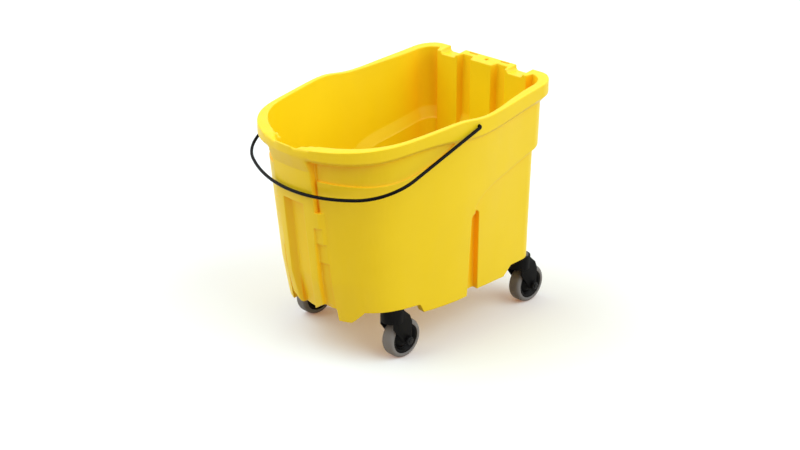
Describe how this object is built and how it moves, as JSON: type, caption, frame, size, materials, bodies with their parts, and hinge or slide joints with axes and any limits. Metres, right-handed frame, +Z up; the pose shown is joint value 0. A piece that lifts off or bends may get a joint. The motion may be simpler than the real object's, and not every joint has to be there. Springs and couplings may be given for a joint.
{
  "type": "mop bucket",
  "caption": "Moulded mop bucket with a rounded nose, wavy rim, wringer notches in the rear rim, a swinging wire bail and swivel casters.",
  "frame": {"origin": "floor level under the middle of the bucket's length and width", "axes": "+X to the right side, +Y to the rear (wringer end), +Z up"},
  "size_m": [0.3708, 0.5027, 0.4369],
  "materials": {
    "yellow_plastic": "moulded satin polypropylene",
    "black_wire": "gloss black coated wire",
    "black_plastic": "moulded black nylon",
    "black_core": "moulded black polypropylene",
    "grey_tyre": "non-marking grey thermoplastic rubber",
    "dark_steel": "black oxide",
    "zinc_steel": "zinc plated"
  },
  "bodies": {
    "bucket": {"bucket_body": "yellow_plastic", "front_right_stem": "zinc_steel", "front_right_grip_ring": "zinc_steel", "front_right_top_race": "zinc_steel", "front_left_stem": "zinc_steel", "front_left_grip_ring": "zinc_steel", "front_left_top_race": "zinc_steel", "rear_right_stem": "zinc_steel", "rear_right_grip_ring": "zinc_steel", "rear_right_top_race": "zinc_steel", "rear_left_stem": "zinc_steel", "rear_left_grip_ring": "zinc_steel", "rear_left_top_race": "zinc_steel"},
    "bail": {"bail_handle": "black_wire"},
    "front_right_yoke": {"front_right_fork": "black_plastic", "front_right_balls": "zinc_steel", "front_right_axle_bolt": "dark_steel", "front_right_axle_nut": "dark_steel", "front_right_axle_bush": "zinc_steel"},
    "front_right_wheel": {"front_right_wheel_core": "black_core", "front_right_tyre": "grey_tyre"},
    "front_left_yoke": {"front_left_fork": "black_plastic", "front_left_balls": "zinc_steel", "front_left_axle_bolt": "dark_steel", "front_left_axle_nut": "dark_steel", "front_left_axle_bush": "zinc_steel"},
    "front_left_wheel": {"front_left_wheel_core": "black_core", "front_left_tyre": "grey_tyre"},
    "rear_right_yoke": {"rear_right_fork": "black_plastic", "rear_right_balls": "zinc_steel", "rear_right_axle_bolt": "dark_steel", "rear_right_axle_nut": "dark_steel", "rear_right_axle_bush": "zinc_steel"},
    "rear_right_wheel": {"rear_right_wheel_core": "black_core", "rear_right_tyre": "grey_tyre"},
    "rear_left_yoke": {"rear_left_fork": "black_plastic", "rear_left_balls": "zinc_steel", "rear_left_axle_bolt": "dark_steel", "rear_left_axle_nut": "dark_steel", "rear_left_axle_bush": "zinc_steel"},
    "rear_left_wheel": {"rear_left_wheel_core": "black_core", "rear_left_tyre": "grey_tyre"}
  },
  "joints": [
    {"name": "bail_swing", "type": "hinge", "parent": "bucket", "child": "bail", "pos_m": [0, 0.016, 0.402], "axis": [-1, 0, 0], "range_deg": [0, 237.5]},
    {"name": "front_right_swivel", "type": "hinge", "parent": "bucket", "child": "front_right_yoke", "pos_m": [0.1135, -0.1195, 0.09], "axis": [0, 0, 1], "continuous": true},
    {"name": "front_right_roll", "type": "hinge", "parent": "front_right_yoke", "child": "front_right_wheel", "pos_m": [0.1135, -0.0995, 0.0352], "axis": [1, 0, 0], "continuous": true},
    {"name": "front_left_swivel", "type": "hinge", "parent": "bucket", "child": "front_left_yoke", "pos_m": [-0.1135, -0.1195, 0.09], "axis": [0, 0, 1], "continuous": true},
    {"name": "front_left_roll", "type": "hinge", "parent": "front_left_yoke", "child": "front_left_wheel", "pos_m": [-0.1135, -0.0995, 0.0352], "axis": [1, 0, 0], "continuous": true},
    {"name": "rear_right_swivel", "type": "hinge", "parent": "bucket", "child": "rear_right_yoke", "pos_m": [0.1135, 0.195, 0.09], "axis": [0, 0, 1], "continuous": true},
    {"name": "rear_right_roll", "type": "hinge", "parent": "rear_right_yoke", "child": "rear_right_wheel", "pos_m": [0.1135, 0.215, 0.0352], "axis": [1, 0, 0], "continuous": true},
    {"name": "rear_left_swivel", "type": "hinge", "parent": "bucket", "child": "rear_left_yoke", "pos_m": [-0.1135, 0.195, 0.09], "axis": [0, 0, 1], "continuous": true},
    {"name": "rear_left_roll", "type": "hinge", "parent": "rear_left_yoke", "child": "rear_left_wheel", "pos_m": [-0.1135, 0.215, 0.0352], "axis": [1, 0, 0], "continuous": true}
  ]
}
